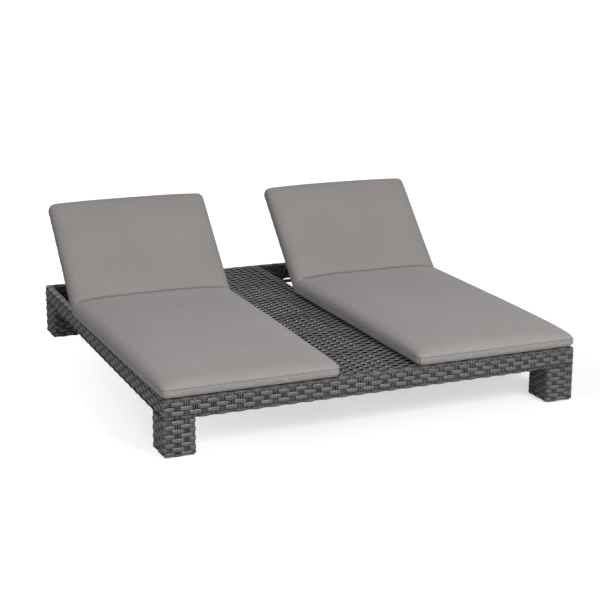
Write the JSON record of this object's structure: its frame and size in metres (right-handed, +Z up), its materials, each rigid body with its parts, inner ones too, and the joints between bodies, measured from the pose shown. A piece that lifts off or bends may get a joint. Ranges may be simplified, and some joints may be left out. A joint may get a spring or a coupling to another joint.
{
  "type": "double chaise lounger",
  "caption": "Wide woven-wicker chaise lounger for lying side by side, with reclining backrests on notched props, grey box cushions and a woven table down the middle.",
  "frame": {"origin": "on the floor, at the centre of the base's footprint", "axes": "+X across to the sitter's left chaise's far side as seen from the foot end (picture right), +Y from the foot end to the head end, +Z up"},
  "size_m": [1.932, 2.03, 0.7204],
  "materials": {
    "woven_wicker": "woven resin strand, slightly glossy",
    "cushion_fabric": "woven outdoor fabric",
    "frame_tube": "powder coated",
    "prop_tube": "powder coated",
    "steel_bracket": "satin powder coat",
    "bright_steel": "zinc plated",
    "nylon": "moulded nylon",
    "glide_plastic": "moulded"
  },
  "bodies": {
    "base": {"base_frame": "frame_tube", "foot_glides": "glide_plastic", "front_left_leg_wicker": "woven_wicker", "front_rail_wicker": "woven_wicker", "front_right_leg_wicker": "woven_wicker", "hinge_screws": "bright_steel", "left_deck_rail_wicker": "woven_wicker", "left_deck_slats": "frame_tube", "left_hinge_bolts": "bright_steel", "left_hinge_spacers": "nylon", "left_inner_hinge_plate": "steel_bracket", "left_inner_rack": "steel_bracket", "left_outer_hinge_plate": "steel_bracket", "left_outer_rack": "steel_bracket", "left_rail_wicker": "woven_wicker", "left_seat_cushion": "cushion_fabric", "left_seat_deck_wicker": "woven_wicker", "left_table_beam_wicker": "woven_wicker", "rack_screws": "bright_steel", "rear_left_leg_wicker": "woven_wicker", "rear_rail_wicker": "woven_wicker", "rear_right_leg_wicker": "woven_wicker", "right_deck_rail_wicker": "woven_wicker", "right_deck_slats": "frame_tube", "right_hinge_bolts": "bright_steel", "right_hinge_spacers": "nylon", "right_inner_hinge_plate": "steel_bracket", "right_inner_rack": "steel_bracket", "right_outer_hinge_plate": "steel_bracket", "right_outer_rack": "steel_bracket", "right_rail_wicker": "woven_wicker", "right_seat_cushion": "cushion_fabric", "right_seat_deck_wicker": "woven_wicker", "right_table_beam_wicker": "woven_wicker", "table_ribs": "frame_tube", "table_top_wicker": "woven_wicker"},
    "left_backrest": {"left_back_cushion": "cushion_fabric", "left_back_frame": "frame_tube", "left_back_wicker": "woven_wicker", "left_inner_hinge_lug": "steel_bracket", "left_inner_prop_lug": "steel_bracket", "left_outer_hinge_lug": "steel_bracket", "left_outer_prop_lug": "steel_bracket", "left_prop_pins": "bright_steel"},
    "right_backrest": {"right_back_cushion": "cushion_fabric", "right_back_frame": "frame_tube", "right_back_wicker": "woven_wicker", "right_inner_hinge_lug": "steel_bracket", "right_inner_prop_lug": "steel_bracket", "right_outer_hinge_lug": "steel_bracket", "right_outer_prop_lug": "steel_bracket", "right_prop_pins": "bright_steel"},
    "left_prop_bail": {"left_inner_prop_arm": "prop_tube", "left_outer_prop_arm": "prop_tube", "left_prop_foot": "prop_tube", "left_prop_sleeves": "nylon"},
    "right_prop_bail": {"right_inner_prop_arm": "prop_tube", "right_outer_prop_arm": "prop_tube", "right_prop_foot": "prop_tube", "right_prop_sleeves": "nylon"}
  },
  "joints": [
    {"name": "left_recline", "type": "hinge", "parent": "base", "child": "left_backrest", "pos_m": [-0.57525, 0.374, 0.2], "axis": [1, 0, 0], "range_deg": [-46, 12]},
    {"name": "left_prop_swing", "type": "hinge", "parent": "left_backrest", "child": "left_prop_bail", "pos_m": [-0.57525, 0.57823, 0.41149], "axis": [1, 0, 0], "range_deg": [-24, 92]},
    {"name": "right_recline", "type": "hinge", "parent": "base", "child": "right_backrest", "pos_m": [0.57525, 0.374, 0.2], "axis": [1, 0, 0], "range_deg": [-46, 12]},
    {"name": "right_prop_swing", "type": "hinge", "parent": "right_backrest", "child": "right_prop_bail", "pos_m": [0.57525, 0.57823, 0.41149], "axis": [1, 0, 0], "range_deg": [-24, 92]}
  ],
  "couplings": [
    {"joint": "left_prop_swing", "follows": "left_recline", "ratio": -2},
    {"joint": "right_prop_swing", "follows": "right_recline", "ratio": -2}
  ]
}
